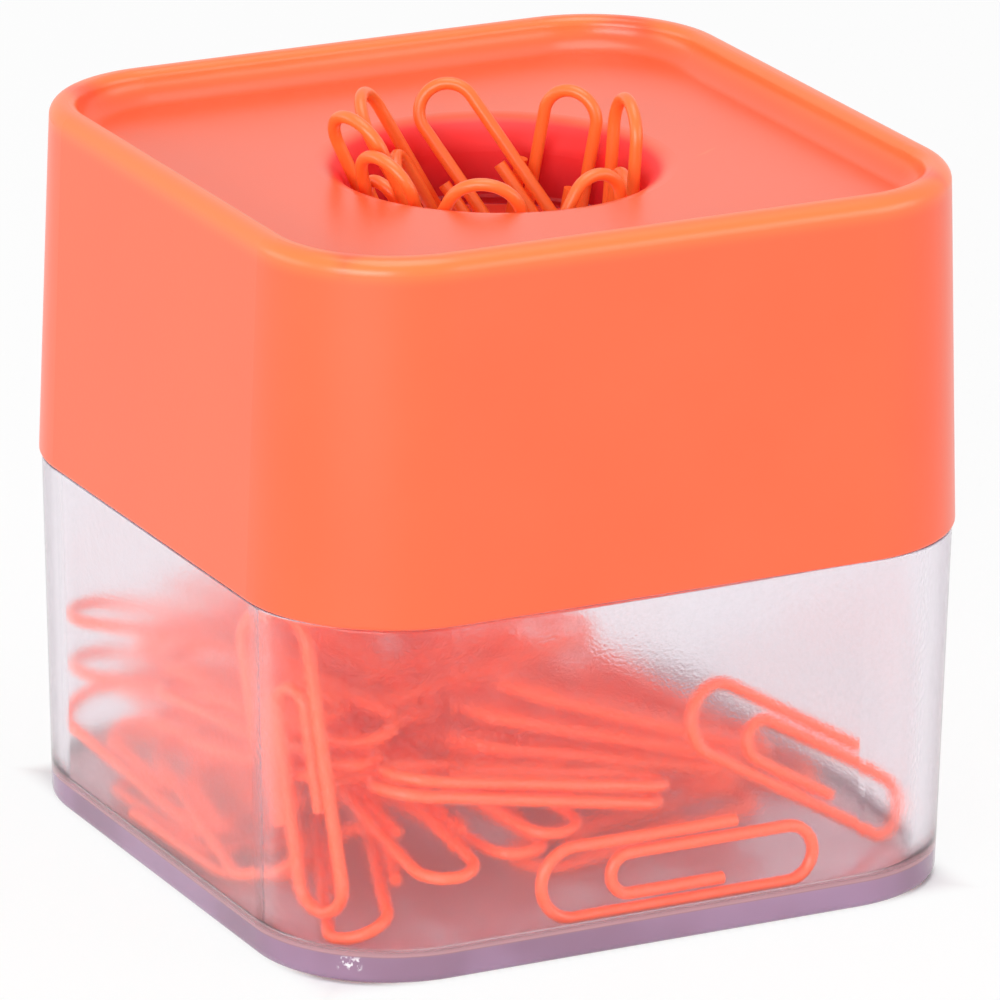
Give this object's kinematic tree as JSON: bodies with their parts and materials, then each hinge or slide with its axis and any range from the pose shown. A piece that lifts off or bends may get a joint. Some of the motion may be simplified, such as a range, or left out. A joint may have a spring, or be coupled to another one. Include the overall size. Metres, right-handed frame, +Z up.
{
  "type": "magnetic paper clip holder",
  "caption": "Rounded square desk holder with a frosted clear cup, a lift-off lid with a dished top, and a magnet round its throat that holds paper clips upright.",
  "frame": {"origin": "middle of the footprint, on the table", "axes": "+Z up; the front, at the picture's right, faces -Y; the picture's left side faces -X"},
  "size_m": [0.069, 0.069, 0.0696],
  "materials": {
    "frosted_cup": "frosted",
    "orange_lid": "satin",
    "ferrite": "matte",
    "coated_wire": "satin"
  },
  "bodies": {
    "cup": {"base_cup": "frosted_cup", "loose_clip_01": "coated_wire", "loose_clip_02": "coated_wire", "loose_clip_03": "coated_wire", "loose_clip_04": "coated_wire", "loose_clip_05": "coated_wire", "loose_clip_06": "coated_wire", "loose_clip_07": "coated_wire", "loose_clip_08": "coated_wire", "loose_clip_09": "coated_wire", "loose_clip_10": "coated_wire", "loose_clip_11": "coated_wire", "loose_clip_12": "coated_wire", "loose_clip_13": "coated_wire", "loose_clip_14": "coated_wire", "loose_clip_15": "coated_wire", "loose_clip_16": "coated_wire", "loose_clip_17": "coated_wire", "loose_clip_18": "coated_wire", "loose_clip_19": "coated_wire", "loose_clip_20": "coated_wire", "loose_clip_21": "coated_wire", "loose_clip_22": "coated_wire", "loose_clip_23": "coated_wire", "loose_clip_24": "coated_wire", "loose_clip_25": "coated_wire", "loose_clip_26": "coated_wire", "loose_clip_27": "coated_wire", "loose_clip_28": "coated_wire", "loose_clip_29": "coated_wire", "loose_clip_30": "coated_wire", "loose_clip_31": "coated_wire", "loose_clip_32": "coated_wire", "loose_clip_33": "coated_wire", "loose_clip_34": "coated_wire", "loose_clip_35": "coated_wire", "loose_clip_36": "coated_wire", "loose_clip_37": "coated_wire", "loose_clip_38": "coated_wire", "loose_clip_39": "coated_wire", "loose_clip_40": "coated_wire", "loose_clip_41": "coated_wire", "loose_clip_42": "coated_wire", "loose_clip_43": "coated_wire", "loose_clip_44": "coated_wire", "loose_clip_45": "coated_wire", "loose_clip_46": "coated_wire"},
    "lid": {"lid_shell": "orange_lid", "magnet_ring": "ferrite", "magnet_retainer": "orange_lid"},
    "held_clip_1": {"held_clip_1": "coated_wire"},
    "held_clip_2": {"held_clip_2": "coated_wire"},
    "held_clip_3": {"held_clip_3": "coated_wire"},
    "held_clip_4": {"held_clip_4": "coated_wire"},
    "held_clip_5": {"held_clip_5": "coated_wire"},
    "held_clip_6": {"held_clip_6": "coated_wire"},
    "held_clip_7": {"held_clip_7": "coated_wire"},
    "held_clip_8": {"held_clip_8": "coated_wire"}
  },
  "joints": [
    {"name": "lid_lift", "type": "slide", "parent": "cup", "child": "lid", "axis": [0, 0, 1], "range_m": [0, 0.06]},
    {"name": "held_clip_1_pull", "type": "slide", "parent": "lid", "child": "held_clip_1", "axis": [-0.4176, 0.013, 0.9085], "range_m": [0, 0.03]},
    {"name": "held_clip_2_pull", "type": "slide", "parent": "lid", "child": "held_clip_2", "axis": [-0.496, 0.0192, 0.8681], "range_m": [0, 0.03]},
    {"name": "held_clip_3_pull", "type": "slide", "parent": "lid", "child": "held_clip_3", "axis": [-0.4228, 0.4364, 0.7943], "range_m": [0, 0.03]},
    {"name": "held_clip_4_pull", "type": "slide", "parent": "lid", "child": "held_clip_4", "axis": [0.1007, -0.1425, 0.9847], "range_m": [0, 0.03]},
    {"name": "held_clip_5_pull", "type": "slide", "parent": "lid", "child": "held_clip_5", "axis": [0.0489, -0.0188, 0.9986], "range_m": [0, 0.03]},
    {"name": "held_clip_6_pull", "type": "slide", "parent": "lid", "child": "held_clip_6", "axis": [-0.3256, -0.3087, 0.8937], "range_m": [0, 0.03]},
    {"name": "held_clip_7_pull", "type": "slide", "parent": "lid", "child": "held_clip_7", "axis": [0.1524, -0.5391, 0.8283], "range_m": [0, 0.03]},
    {"name": "held_clip_8_pull", "type": "slide", "parent": "lid", "child": "held_clip_8", "axis": [0.4869, 0.0099, 0.8734], "range_m": [0, 0.03]}
  ]
}
